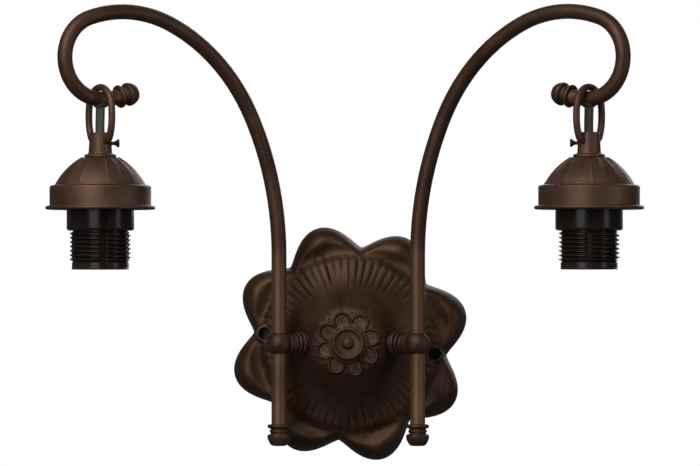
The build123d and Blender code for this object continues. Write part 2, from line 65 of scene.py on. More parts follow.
def rounded(points, steps=6):
    """A profile with its corners rounded. A point is (radius, height) or has a fillet after them."""
    out = []
    for i, point in enumerate(points):
        fillet = point[2] if len(point) > 2 else 0.0
        here = Vector(point[:2])
        if not fillet or i in (0, len(points) - 1):
            out.append(tuple(here))
            continue
        before, after = Vector(points[i - 1][:2]), Vector(points[i + 1][:2])
        to_before, to_after = before - here, after - here
        reach = min(fillet, to_before.length * 0.49, to_after.length * 0.49)
        start = here + to_before.normalized() * reach
        end = here + to_after.normalized() * reach
        for k in range(steps + 1):
            t = k / steps
            out.append(tuple(start * (1 - t) ** 2 + here * 2 * t * (1 - t) + end * t * t))
    return out


def turned_faces(columns, rows, closed=False):
    """Faces between columns of points that go round an axis, each column with as many rows."""
    faces = []
    for k in range(columns):
        a, b = k * rows, (k + 1) % columns * rows
        for i in range(rows if closed else rows - 1):
            j = (i + 1) % rows
            faces.append((a + i, b + i, b + j, a + j))
    return faces


def ring_faces(rings, count):
    """Faces between closed rings of points, one ring after another, each with as many points."""
    faces = []
    for ring in range(rings - 1):
        a, b = ring * count, (ring + 1) * count
        for i in range(count):
            j = (i + 1) % count
            faces.append((a + i, a + j, b + j, b + i))
    return faces


def lathe(profile, segments=96, closed=False, warp=None):
    """Vertices and faces of a profile turned about Z. warp may move a point: (radius, height, angle)."""
    verts = []
    for k in range(segments):
        angle = 2 * math.pi * k / segments
        for radius, height in profile:
            r, h = warp(radius, height, angle) if warp else (radius, height)
            verts.append((r * math.cos(angle), r * math.sin(angle), h))
    return verts, turned_faces(segments, len(profile), closed)


def join(*parts):
    """One list of vertices and faces out of several."""
    verts, faces = [], []
    for part_verts, part_faces in parts:
        shift = len(verts)
        verts += part_verts
        faces += [tuple(i + shift for i in face) for face in part_faces]
    return verts, faces


def moved(part, matrix):
    """A copy of vertices and faces, carried by a matrix."""
    verts, faces = part
    return [tuple(matrix @ Vector(v)) for v in verts], faces


def piece(name, part, material, body, replaced=(), sharp=40.0, weighted=True):
    """Makes an object of vertices in millimetres, dresses it and fixes it to its body."""
    verts, faces = part
    mesh = bpy.data.meshes.new(name)
    mesh.from_pydata([(x * MM, y * MM, z * MM) for x, y, z in verts], [], faces)
    work = bmesh.new()
    work.from_mesh(mesh)
    bmesh.ops.remove_doubles(work, verts=work.verts, dist=WELD * MM)
    bmesh.ops.dissolve_degenerate(work, edges=work.edges, dist=FINE_WELD * MM)
    bmesh.ops.recalc_face_normals(work, faces=work.faces)
    work.to_mesh(mesh)
    work.free()
    mesh.shade_smooth()
    mesh.set_sharp_from_angle(angle=math.radians(sharp))
    obj = bpy.data.objects.new(name, mesh)
    bpy.context.scene.collection.objects.link(obj)
    mesh.materials.append(material)
    if weighted:
        normals = obj.modifiers.new("normals", "WEIGHTED_NORMAL")
        normals.keep_sharp = True
        normals.weight = 60
    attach(obj, body)
    if replaced:
        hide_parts(*replaced)
    return obj


def axes(origin, x_dir, z_dir):
    """A matrix from a frame's origin, X direction and Z direction."""
    z = Vector(z_dir).normalized()
    x = Vector(x_dir)
    x = (x - z * x.dot(z)).normalized()
    y = z.cross(x)
    turn = Matrix((x, y, z)).transposed().to_4x4()
    return Matrix.Translation(Vector(origin)) @ turn


def wall_frame(height=0.0):
    """Frame on the wall: local Z comes out of the wall, local Y is up."""
    return Matrix.Translation((0, -height, 0)) @ Matrix.Rotation(math.pi / 2, 4, "X")


def lamp_frame(side, turn=0.0):
    """Frame at a lamp's pin: local Z is up, and local X lies across the crook, turned about Z."""
    x_dir = (side * math.sin(CROOK_ANGLE), math.cos(CROOK_ANGLE), 0)
    return axes((side * LAMP_X, LAMP_Y, PIN_Z), x_dir, (0, 0, 1)) @ Matrix.Rotation(turn, 4, "Z")


def coupling_frame(side):
    """Frame at a ball's middle: local Z runs along the coupling to the bell."""
    toward = (-side * math.cos(COUPLING_ANGLE), math.sin(COUPLING_ANGLE), 0)
    return axes((side * ARM_X, ARM_Y, 0), (0, 0, 1), toward)


def smoothstep(low, high, value):
    """A smooth step from 0 at low to 1 at high, for an array."""
    t = np.clip((value - low) / (high - low), 0.0, 1.0)
    return t * t * (3 - 2 * t)


def ramp(low, high, value):
    """The same smooth step for one plain number."""
    t = min(max((value - low) / (high - low), 0.0), 1.0)
    return t * t * (3 - 2 * t)


# Materials


class Look:
    """A material's node tree, with short calls for the nodes used here."""

    def __init__(self, name, metallic=0.0, **sockets):
        self.material = bpy.data.materials.new(name)
        self.material.use_nodes = True
        self.tree = self.material.node_tree
        self.shader = self.tree.nodes["Principled BSDF"]
        self.shader.inputs["Metallic"].default_value = metallic
        for socket, value in sockets.items():
            self.shader.inputs[socket.replace("_", " ")].default_value = value
        self.place = self.tree.nodes.new("ShaderNodeTexCoord").outputs["Object"]

    def node(self, kind, inputs=(), **settings):
        made = self.tree.nodes.new(kind)
        for key, value in settings.items():
            setattr(made, key, value)
        for key, value in dict(inputs).items():
            if isinstance(value, bpy.types.NodeSocket):
                self.tree.links.new(value, made.inputs[key])
            else:
                made.inputs[key].default_value = value
        return made

    def noise(self, scale, detail=4.0, rough=0.5, stretch=None):
        place = self.place
        if stretch:
            place = self.node("ShaderNodeMapping", {"Vector": place, "Scale": stretch}).outputs[0]
        return self.node("ShaderNodeTexNoise", {
            "Vector": place, "Scale": scale, "Detail": detail, "Roughness": rough}).outputs["Fac"]

    def ranged(self, value, low, high, to_low=0.0, to_high=1.0):
        return self.node("ShaderNodeMapRange", {
            "Value": value, "From Min": low, "From Max": high,
            "To Min": to_low, "To Max": to_high}).outputs["Result"]

    def math(self, operation, a, b):
        return self.node("ShaderNodeMath", {0: a, 1: b}, operation=operation).outputs[0]

    def mix(self, factor, a, b):
        made = self.node("ShaderNodeMix", data_type="RGBA")
        for key, value in ((0, factor), (6, a), (7, b)):
            if isinstance(value, bpy.types.NodeSocket):
                self.tree.links.new(value, made.inputs[key])
            else:
                made.inputs[key].default_value = value if key == 0 else (*value, 1.0)
        return made.outputs[2]

    def pointiness(self):
        return self.node("ShaderNodeNewGeometry").outputs["Pointiness"]

    def bump(self, height, strength, distance, normal=None):
        inputs = {"Height": height, "Strength": strength, "Distance": distance * MM}
        if normal:
            inputs["Normal"] = normal
        return self.node("ShaderNodeBump", inputs).outputs["Normal"]

    def finish(self, colour=None, roughness=None, normal=None):
        for socket, value in (("Base Color", colour), ("Roughness", roughness), ("Normal", normal)):
            if value is not None:
                self.tree.links.new(value, self.shader.inputs[socket])
        return self.material


def bronze_look(name, deep, middle, worn_and_highlight_colour, grain, edge_wear_and_highlight=0.7, shade=0.85):
    """Satin bronze paint: cloudy brown, darker in hollows with dark patina and painted shade, and coppery
    on edges with rubbed wear and a painted highlight.
    """
    look = Look(name, metallic=0.68, Specular_IOR_Level=0.30)
    cloud = look.noise(38.0, 5.0, 0.6)
    colour = look.mix(look.ranged(cloud, 0.36, 0.64), deep, middle)
    fleck = look.ranged(look.noise(620.0, 3.0, 0.6), 0.62, 0.76, 0.0, 0.08)
    colour = look.mix(fleck, colour, worn_and_highlight_colour)
    # Convex edges take the worn colour: partly rubbed wear, partly a painted highlight on rims and edges.
    edge = look.ranged(look.pointiness(), 0.515, 0.60, 0.0, edge_wear_and_highlight)
    colour = look.mix(look.math("MULTIPLY", edge, look.ranged(cloud, 0.3, 0.6, 0.5, 1.0)), colour, worn_and_highlight_colour)
    # Hollows darken towards a near-black brown: dark patina together with painted shade in grooves and
    # creases.
    hollow = look.ranged(look.pointiness(), 0.41, 0.485, shade, 0.0)
    colour = look.mix(hollow, colour, tuple(c * 0.25 for c in deep))
    rough = look.ranged(look.noise(150.0, 4.0, 0.6), 0.3, 0.7, 0.47, 0.58)
    coarse = look.bump(look.noise(210.0, 3.0, 0.55), 0.20 * grain, 0.30)
    fine = look.bump(look.noise(1500.0, 2.0, 0.5), 0.14 * grain, 0.06, coarse)
    return look.finish(colour, rough, fine)


def phenolic_look():
    look = Look("black_phenolic", Specular_IOR_Level=0.11)
    cloud = look.noise(70.0, 4.0, 0.6)
    colour = look.mix(look.ranged(cloud, 0.3, 0.7), (0.0085, 0.0058, 0.0047), (0.0150, 0.0108, 0.0092))
    # Hollows such as the thread's roots and the split darken towards black: painted shade.
    hollow = look.ranged(look.pointiness(), 0.40, 0.485, 0.9, 0.0)
    colour = look.mix(hollow, colour, (0.0025, 0.0018, 0.0016))
    rough = look.ranged(look.noise(260.0, 3.0, 0.6), 0.3, 0.7, 0.20, 0.26)
    flow = look.bump(look.noise(45.0, 1.0, 0.4, (1.0, 1.0, 0.25)), 0.03, 0.20)
    return look.finish(colour, rough, flow)


def cord_look():
    look = Look("cord_jacket", Specular_IOR_Level=0.35)
    cloud = look.noise(160.0, 4.0, 0.6)
    colour = look.mix(look.ranged(cloud, 0.3, 0.7), (0.017, 0.0120, 0.0098), (0.030, 0.0220, 0.0185))
    rough = look.ranged(look.noise(500.0, 3.0), 0.3, 0.7, 0.42, 0.56)
    lines = look.bump(look.noise(1500.0, 2.0, 0.5, (1.0, 1.0, 0.08)), 0.18, 0.10)
    return look.finish(colour, rough, lines)


def grommet_look():
    look = Look("grommet_rubber", Specular_IOR_Level=0.3)
    cloud = look.noise(320.0, 4.0, 0.6)
    colour = look.mix(look.ranged(cloud, 0.3, 0.7), (0.022, 0.017, 0.014), (0.045, 0.035, 0.029))
    rough = look.ranged(look.noise(800.0, 3.0), 0.3, 0.7, 0.55, 0.7)
    return look.finish(colour, rough, look.bump(look.noise(2500.0, 2.0), 0.2, 0.05))


def metal_look(name, dark, light, low_rough, high_rough, scratch=(1.0, 1.0, 1.0), specks=None):
    """Plated or pressed metal with clouded colour, fine marks, uneven gloss and painted shade in its
    hollows.
    """
    look = Look(name, metallic=1.0)
    cloud = look.noise(180.0, 5.0, 0.65)
    colour = look.mix(look.ranged(cloud, 0.32, 0.68), dark, light)
    if specks:
        colour = look.mix(look.ranged(look.noise(700.0, 3.0, 0.6), 0.60, 0.75, 0.0, 0.5), colour, specks)
    # Hollows darken: painted shade.
    hollow = look.ranged(look.pointiness(), 0.38, 0.49, 0.6, 0.0)
    colour = look.mix(hollow, colour, tuple(c * 0.4 for c in dark))
    rough = look.ranged(look.noise(420.0, 4.0, 0.6, scratch), 0.3, 0.7, low_rough, high_rough)
    marks = look.bump(look.noise(1300.0, 3.0, 0.6, scratch), 0.18, 0.06)
    return look.finish(colour, rough, marks)


def moulding_look():
    look = Look("carrier_moulding", Specular_IOR_Level=0.4)
    cloud = look.noise(140.0, 4.0, 0.6)
    colour = look.mix(look.ranged(cloud, 0.3, 0.7), (0.44, 0.40, 0.33), (0.60, 0.56, 0.48))
    rough = look.ranged(look.noise(500.0, 3.0), 0.3, 0.7, 0.45, 0.62)
    return look.finish(colour, rough, look.bump(look.noise(1600.0, 2.0), 0.2, 0.06))


bronze = bronze_look("bronze", (0.036, 0.0178, 0.0098), (0.058, 0.0300, 0.0174), (0.150, 0.080, 0.048), 0.5)
# The arm, lamp and rosette bronzes are lighter copies of the one bronze finish: painted light.
bronze_arm_painted_lit = bronze_look(
    "bronze_arm_painted_lit", (0.041, 0.0206, 0.0116), (0.063, 0.0328, 0.0194), (0.150, 0.080, 0.048), 0.5)
bronze_lamp_painted_lit = bronze_look(
    "bronze_lamp_painted_lit", (0.055, 0.0288, 0.0172), (0.084, 0.0450, 0.0275), (0.170, 0.096, 0.062), 0.4, edge_wear_and_highlight=0.6)
# The plate's bronze is a darker copy of the same finish, painted shade, with a coarser cast grain.
bronze_cast_painted_shade = bronze_look(
    "bronze_plate", (0.029, 0.0140, 0.0066), (0.056, 0.0278, 0.0138), (0.125, 0.066, 0.036), 0.8)
bronze_rosette_painted_lit = bronze_look(
    "bronze_rosette_painted_lit", (0.054, 0.0285, 0.0165), (0.086, 0.0455, 0.0270), (0.200, 0.113, 0.072), 0.5,
    edge_wear_and_highlight=0.8, shade=0.92)
phenolic = phenolic_look()
cord_jacket = cord_look()
rubber = grommet_look()
# The strap is nearly black so that it shows as painted shade through the plate's mounting holes.
strap_painted_shade = metal_look("strap_painted_shade", (0.040, 0.032, 0.026), (0.075, 0.062, 0.050), 0.45, 0.60)
zinc = metal_look(
    "zinc_steel", (0.42, 0.43, 0.43), (0.62, 0.62, 0.60), 0.28, 0.46, specks=(0.72, 0.70, 0.62))
ground_green = metal_look("ground_green", (0.02, 0.16, 0.05), (0.04, 0.27, 0.09), 0.30, 0.45)
shell_metal = metal_look("shell_metal", (0.62, 0.58, 0.50), (0.80, 0.77, 0.70), 0.22, 0.40, (1.0, 1.0, 4.0))
contact_brass = metal_look("contact_brass", (0.55, 0.36, 0.13), (0.78, 0.56, 0.24), 0.25, 0.42)
moulding = moulding_look()


# Camera and stage

LENS_LENGTH, SENSOR_WIDTH = 479.4, 36.0
CAMERA_TARGET = (1.64, -60.0, 69.62)
CAMERA_TURN, CAMERA_RISE, CAMERA_DISTANCE = math.radians(1.74), math.radians(-0.75), 5872

# In metres: the floor's half width, front, back and height, and where the lights point
FLOOR_HALF, FLOOR_FRONT, FLOOR_BACK, FLOOR_Z = 2.5, -2.5, 1.5, -0.75
LIGHT_AIM = (0.0, -0.06, 0.07)
LIGHTS = (
    ("key", (-0.72, -1.75, 0.52), (0.95, 1.30), 20.5),
    ("strip", (1.55, -0.85, 0.15), (0.40, 1.1), 5.5),
    ("top", (-0.30, -0.78, 0.86), (1.0, 0.6), 10.5),
    ("back", (0.35, 1.70, 0.70), (1.6, 1.2), 18.0),
)
FLOOR_GLOW, BACKDROP_GLOW, SURROUND_GLOW = 0.55, 1.0, 0.135


def make_camera():
    data = bpy.data.cameras.new("camera")
    data.lens = LENS_LENGTH
    data.sensor_width = SENSOR_WIDTH
    data.clip_end = 100.0
    obj = bpy.data.objects.new("camera", data)
    bpy.context.scene.collection.objects.link(obj)
    level = math.cos(CAMERA_RISE)
    away = Vector((math.sin(CAMERA_TURN) * level, -math.cos(CAMERA_TURN) * level, math.sin(CAMERA_RISE)))
    obj.location = Vector(CAMERA_TARGET) * MM + away * (CAMERA_DISTANCE * MM)
    obj.rotation_euler = (-away).to_track_quat("-Z", "Y").to_euler()
    bpy.context.scene.camera = obj


def make_floor():
    mesh = bpy.data.meshes.new("floor")
    corners = [(-FLOOR_HALF, FLOOR_FRONT, FLOOR_Z), (FLOOR_HALF, FLOOR_FRONT, FLOOR_Z),
               (FLOOR_HALF, FLOOR_BACK, FLOOR_Z), (-FLOOR_HALF, FLOOR_BACK, FLOOR_Z)]
    mesh.from_pydata(corners, [], [(0, 1, 2, 3)])
    floor = bpy.data.objects.new("floor", mesh)
    bpy.context.scene.collection.objects.link(floor)
    look = Look("floor_paint")
    cloud = look.noise(6.0, 3.0)
    colour = look.mix(look.ranged(cloud, 0.3, 0.7), (0.78, 0.78, 0.77), (0.82, 0.82, 0.81))
    look.shader.inputs["Emission Color"].default_value = (1.0, 1.0, 0.99, 1.0)
    look.shader.inputs["Emission Strength"].default_value = FLOOR_GLOW
    mesh.materials.append(look.finish(colour, look.ranged(cloud, 0.3, 0.7, 0.75, 0.85)))
    # The floor is pale to look at and throws no light on the sconce
    floor.visible_diffuse = False
    floor.visible_glossy = False


def make_world():
    """White behind the object, and a dimmer even light round it."""
    world = bpy.data.worlds.new("studio")
    world.use_nodes = True
    tree = world.node_tree
    backdrop = tree.nodes["Background"]
    backdrop.inputs["Color"].default_value = (1, 1, 1, 1)
    backdrop.inputs["Strength"].default_value = BACKDROP_GLOW
    surround = tree.nodes.new("ShaderNodeBackground")
    surround.inputs["Color"].default_value = (1, 1, 1, 1)
    surround.inputs["Strength"].default_value = SURROUND_GLOW
    path = tree.nodes.new("ShaderNodeLightPath")
    mix = tree.nodes.new("ShaderNodeMixShader")
    tree.links.new(path.outputs["Is Camera Ray"], mix.inputs[0])
    tree.links.new(surround.outputs[0], mix.inputs[1])
    tree.links.new(backdrop.outputs[0], mix.inputs[2])
    tree.links.new(mix.outputs[0], tree.nodes["World Output"].inputs["Surface"])
    bpy.context.scene.world = world
    bpy.context.scene.view_settings.view_transform = "Standard"


def make_light(name, place, size, power):
    data = bpy.data.lights.new(name, "AREA")
    data.shape = "RECTANGLE"
    data.size, data.size_y = size
    data.energy = power
    obj = bpy.data.objects.new(name, data)
    bpy.context.scene.collection.objects.link(obj)
    obj.location = place
    obj.rotation_euler = (Vector(LIGHT_AIM) - Vector(place)).to_track_quat("-Z", "Y").to_euler()


make_camera()
make_floor()
make_world()
for light in LIGHTS:
    make_light(*light)


# Flower backplate

PETALS = 8
PETAL_TURN = math.radians(15.7)
TIP_R, VALLEY_R = 76.2, 61.7
RIM_POWER, VALLEY_POWER = 0.66, 1.6
WALL = 2.5
FLUTES = 64
FLOWER_COLUMNS, FRONT_ROWS, BACK_ROWS = FLUTES * 14, 140, 34
# Widths are shares of a flute, and pairs are the radii where a form begins or ends softly
GROOVE_WIDTH, GROOVE_DEPTH, RIDGE_SWELL = 0.115, 0.62, 0.14
INNER_START, DEEP_INNER, SHALLOW_INNER = (19.0, 22.0), 0.50, 0.06
FAINT_START, FAINT_END, FAINT_DEPTH = (24, 30), (42, 50), 0.07
LIP_START, LIP_END, LIP_SWELL, LIP_NOTCH = (48.0, 53.0), (56.0, 61.0), 0.12, 0.20
# A fold's place and widths are shares of half a petal
FOLD_START, FOLD_AT, FOLD_LEAN, FOLD_MID_R = (57.0, 63.0), 0.16, 0.020, 64.0
FOLD_HEIGHT, FOLD_WIDTH = 0.55, 0.20
DIP_DEPTH, DIP_WIDTH, DIP_BESIDE = 0.40, 0.24, 0.42
# Two mounting holes through the valleys, each in a flat seat
HOLES = tuple(math.radians(turn) for turn in (-6.8, 173.2))
HOLE_RING_R, HOLE_R = 54.5, 4.0
SEAT_FLAT_R, SEAT_END_R, SEAT_H = 4.6, 6.8, 15.0


def petal_rim(station):
    """The outline's distance from the middle at a station across a petal, -1 to 1."""
    wave = (1 + math.cos(station * math.pi)) / 2
    return VALLEY_R + (TIP_R - VALLEY_R) * wave**RIM_POWER


# Sections as (radius, height): the bell, then a petal along its middle and along the valley beside it
PETAL_START_R = 48.0
BELL = ((NIPPLE_HOLE_R, 41.98), (16.0, 41.9), (18.0, 41.7), (22.8, 39.4), (28.5, 32.6), (34.5, 25.8),
        (41.4, 20.5), (PETAL_START_R, 17.5), (52.4, 16.1))
CROWN = ((54.8, 13.9), (57.4, 12.0), (61.0, 12.3), (65.6, 13.8), (69.8, 12.6), (73.2, 8.9), (75.3, 4.9),
         (76.1, 2.8))
VALLEY = ((54.4, 14.9), (55.7, 14.1), (56.9, 13.0), (58.1, 11.4), (59.3, 9.2), (60.3, 6.7), (61.2, 4.2),
          (61.6, 2.7))


def catmull(points, count):
    """Points spread evenly along a smooth curve through the given ones."""
    p = np.array(points)
    ends = np.vstack([2 * p[0] - p[1], p, 2 * p[-1] - p[-2]])
    dense = []
    for i in range(len(p) - 1):
        a, b, c, d = ends[i:i + 4]
        for t in np.linspace(0, 1, 12, endpoint=False):
            dense.append(0.5 * (2 * b + (c - a) * t + (2 * a - 5 * b + 4 * c - d) * t**2
                                + (3 * b - a - 3 * c + d) * t**3))
    dense.append(p[-1])
    dense = np.array(dense)
    run = np.concatenate([[0], np.cumsum(np.linalg.norm(np.diff(dense, axis=0), axis=1))])
    at = np.linspace(0, run[-1], count)
    return np.stack([np.interp(at, run, dense[:, 0]), np.interp(at, run, dense[:, 1])], axis=1)


def petal_section(station):
    """The flower's front at a station across a petal, its rim radius, and its share of valley."""
    blend = abs(station) ** VALLEY_POWER
    rim = petal_rim(station)
    outline = list(BELL)
    for crown, valley in zip(CROWN, VALLEY):
        crown_share = (crown[0] - PETAL_START_R) / (TIP_R - PETAL_START_R)
        valley_share = (valley[0] - PETAL_START_R) / (VALLEY_R - PETAL_START_R)
        out = (1 - blend) * crown_share + blend * valley_share
        outline.append((PETAL_START_R + out * (rim - PETAL_START_R),
                        crown[1] * (1 - blend) + valley[1] * blend))
    outline.append((rim, 2.0))
    return outline, rim, blend


def groove_settings():
    """Each groove's own length, depth and lean, and its short groove near the rosette."""
    seeded = random.Random(11)
    return [{"start": seeded.uniform(35.0, 45.0), "end": seeded.uniform(54.5, 59.5),
             "deep": seeded.uniform(0.55, 1.35), "lean": seeded.uniform(-0.16, 0.16),
             "inner": seeded.random(), "inner_end": seeded.uniform(25.0, 34.0)} for _ in range(FLUTES)]


def with_grooves(r, h, angle, blend, grooves):
    """Cuts narrow grooves between wide smooth ridges into one column of radii and heights."""
    place = angle * FLUTES / (2 * math.pi)
    own = grooves[int(round(place)) % FLUTES]
    across = place - round(place)
    drift = across + own["lean"] * (r - 50.0) / 40.0
    groove = np.exp(-(drift / GROOVE_WIDTH) ** 2)
    begins = smoothstep(own["start"] - 3, own["start"] + 9, r)
    outer = begins * (1 - smoothstep(own["end"] - 3, own["end"], r))
    inner = smoothstep(*INNER_START, r) * (1 - smoothstep(own["inner_end"] - 6, own["inner_end"], r))
    faint = smoothstep(*FAINT_START, r) * (1 - smoothstep(*FAINT_END, r))
    ridge = (1 - math.cos(2 * math.pi * across)) / 2 - 0.5
    h = h - groove * outer * GROOVE_DEPTH * own["deep"] + ridge * outer * RIDGE_SWELL
    h = h - groove * inner * (DEEP_INNER if own["inner"] > 0.50 else SHALLOW_INNER)
    h = h - groove * faint * FAINT_DEPTH
    near_lip = smoothstep(*LIP_START, r) * (1 - smoothstep(*LIP_END, r)) * (1 - 0.75 * blend)
    r = r + (LIP_SWELL * ridge + LIP_NOTCH * (own["deep"] - 0.95) * groove) * near_lip
    return r, h


def with_fold(r, h, station, rim):
    """Raises a soft fold that leans across each petal, with a dip beside it."""
    petal_zone = smoothstep(*FOLD_START, r) * (1 - smoothstep(rim - 7, rim - 1, r))
    fold = station - FOLD_AT + FOLD_LEAN * (r - FOLD_MID_R)
    crest = FOLD_HEIGHT * np.exp(-(fold / FOLD_WIDTH) ** 2)
    dip = DIP_DEPTH * np.exp(-((fold + DIP_BESIDE) / DIP_WIDTH) ** 2)
    return h + petal_zone * (crest - dip)


def with_hole_seats(r, h, angle):
    """Flattens the front round the two mounting holes."""
    for hole_angle in HOLES:
        dx = r * math.cos(angle) - HOLE_RING_R * math.cos(hole_angle)
        dy = r * math.sin(angle) - HOLE_RING_R * math.sin(hole_angle)
        flat = 1 - smoothstep(SEAT_FLAT_R, SEAT_END_R, np.sqrt(dx**2 + dy**2))
        h = h * (1 - flat) + SEAT_H * flat
    return h


def edge_and_back(outline, rim):
    """The rounded edge, the foot and the hollow back of one column."""
    points = [(rim, 1.2), (rim - 0.15, 0.4), (rim - 0.5, 0.02), (rim - 2.6, 0.02), (rim - 3.0, 0.3),
              (rim - 3.05, 1.4)]
    front = catmull(outline, BACK_ROWS * 4)
    for index in np.linspace(BACK_ROWS * 4 - 9, 6, BACK_ROWS).astype(int):
        radius, height = front[index]
        radius = min(radius - 1.2, rim - 3.1)
        points.append((max(radius, NIPPLE_HOLE_R), height - WALL))
    return points


def flower_mesh():
    """The cast flower: petals, fluted bell and hollow back as one closed shell."""
    grooves = groove_settings()
    verts = []
    for k in range(FLOWER_COLUMNS):
        angle = 2 * math.pi * k / FLOWER_COLUMNS
        petal_angle = (angle - PETAL_TURN) * PETALS / (2 * math.pi)
        station = (petal_angle - round(petal_angle)) * 2
        outline, rim, blend = petal_section(station)
        front = catmull(outline, FRONT_ROWS)
        r, h = with_grooves(front[:, 0].copy(), front[:, 1].copy(), angle, blend, grooves)
        h = with_fold(r, h, station, rim)
        h = np.minimum(with_hole_seats(r, h, angle), BELL_TOP - 0.01)
        column = list(zip(r, h)) + edge_and_back(outline, rim)
        verts += [(radius * math.cos(angle), radius * math.sin(angle), height) for radius, height in column]
    return verts, turned_faces(FLOWER_COLUMNS, len(column), closed=True)


def cut_with(obj, cutter_parts):
    """Cuts closed shapes out of an object and applies the cut."""
    mesh = bpy.data.meshes.new(obj.name + "_cutter")
    verts, faces = join(*cutter_parts)
    mesh.from_pydata([(x * MM, y * MM, z * MM) for x, y, z in verts], [], faces)
    work = bmesh.new()
    work.from_mesh(mesh)
    bmesh.ops.remove_doubles(work, verts=work.verts, dist=FINE_WELD * MM)
    bmesh.ops.recalc_face_normals(work, faces=work.faces)
    work.to_mesh(mesh)
    work.free()
    cutter = bpy.data.objects.new(obj.name + "_cutter", mesh)
    bpy.context.scene.collection.objects.link(cutter)
    cut = obj.modifiers.new("cut", "BOOLEAN")
    cut.operation = "DIFFERENCE"
    cut.solver = "MANIFOLD"
    cut.object = cutter
    while obj.modifiers[0] != cut:
        obj.modifiers.move(len(obj.modifiers) - 1, 0)
    depsgraph = bpy.context.evaluated_depsgraph_get()
    others = [m for m in obj.modifiers if m != cut]
    for other in others:
        other.show_viewport = False
    depsgraph.update()
    result = bpy.data.meshes.new_from_object(obj.evaluated_get(depsgraph))
    for other in others:
        other.show_viewport = True
    obj.modifiers.remove(cut)
    old = obj.data
    obj.data = result
    bpy.data.meshes.remove(old)
    bpy.data.objects.remove(cutter)
    bpy.data.meshes.remove(mesh)


def rod(radius, low, high, segments=48):
    """A closed cylinder to cut with."""
    return lathe([(0, low), (radius, low), (radius, high), (0, high)], segments)


def make_flower():
    """The flower, with its two mounting holes cut through."""
    obj = piece("flower", moved(flower_mesh(), wall_frame()), bronze_cast_painted_shade, "wall_plate",
                ("backplate",), sharp=60.0, weighted=False)
    holes = []
    for turn in HOLES:
        place = Matrix.Translation((HOLE_RING_R * math.cos(turn), HOLE_RING_R * math.sin(turn), 0))
        holes.append(moved(rod(HOLE_R, -2, 30), wall_frame() @ place))
    cut_with(obj, holes)


make_flower()


# Strap behind the plate

# The strap runs long enough to lie behind the plate's two mounting holes, where its dark colour stands for
# shade.
STRAP_LENGTH, STRAP_WIDTH, STRAP_THICKNESS, STRAP_CORNER_R = 117.0, 22.0, 2.4, 4.0
STRAP_SLOT, STRAP_SLOT_R = (34.925, 44.45), 2.4
STRAP_EDGE = 0.35
GROUND_HOLE_R = 2.4
CUT_LOW, CUT_HIGH = -1.0, 4.0


def long_outline(length, width, corner, steps=8):
    """Points round a flat bar with rounded corners, centred on the origin."""
    points = []
    for k, (sx, sy) in enumerate(((1, 1), (-1, 1), (-1, -1), (1, -1))):
        cx, cy = sx * (length / 2 - corner), sy * (width / 2 - corner)
        for i in range(steps + 1):
            angle = math.pi / 2 * (k + i / steps)
            points.append((cx + corner * math.cos(angle), cy + corner * math.sin(angle)))
    return points


def slab(levels):
    """A closed solid through outlines of the same number of points: (points, height)."""
    count = len(levels[0][0])
    verts = [(x, y, height) for points, height in levels for x, y in points]
    faces = [tuple(reversed(range(count))), tuple(range(len(verts) - count, len(verts)))]
    return verts, faces + ring_faces(len(levels), count)


def make_strap():
    """The pressed strap with its slots, its middle hole and the ground screw's hole."""
    levels = []
    for inset, height in ((STRAP_EDGE, 0.0), (0.0, STRAP_EDGE), (0.0, STRAP_THICKNESS - STRAP_EDGE),
                          (STRAP_EDGE, STRAP_THICKNESS)):
        outline = long_outline(STRAP_LENGTH - 2 * inset, STRAP_WIDTH - 2 * inset, STRAP_CORNER_R - inset)
        levels.append((outline, height))
    obj = piece("strap_pressed", moved(slab(levels), wall_frame()), strap_painted_shade, "wall_plate",
                ("crossbar",), weighted=False)
    corners = [nodes["ground_screw"].matrix_world @ Vector(c) for c in nodes["ground_screw"].bound_box]
    screw = sum(corners, Vector()) / 8 / MM
    screw_place = wall_frame() @ Matrix.Translation((screw.x, screw.z, 0))
    cutters = [moved(rod(NIPPLE_HOLE_R, CUT_LOW, CUT_HIGH), wall_frame()),
               moved(rod(GROUND_HOLE_R, CUT_LOW, CUT_HIGH), screw_place)]
    for side in (-1, 1):
        inner, outer = STRAP_SLOT
        slot = long_outline(outer - inner + 2 * STRAP_SLOT_R, 2 * STRAP_SLOT_R, STRAP_SLOT_R * 0.999)
        place = Matrix.Translation((side * (inner + outer) / 2, 0, 0))
        cutters.append(moved(slab([(slot, CUT_LOW), (slot, CUT_HIGH)]), wall_frame() @ place))
    cut_with(obj, cutters)


make_strap()


# Rosette and knob

# Half length and half width of a small petal's face and of its foot
SMALL_PETAL, SMALL_PETAL_FOOT = (6.7, 5.85), (6.5, 5.65)
FACE_H, CURL_H, EDGE_DROP = 2.20, 1.80, 2.2
SEPAL_LENGTH, SEPAL_HALF_WIDTH = 7.0, 2.9
RIB_DEPTH = 0.42
PETAL_RING_R, SEPAL_RING_R = 14.5, 13.4
KNOB_FOOT, KNOB_DISC = 46.02, 48.0


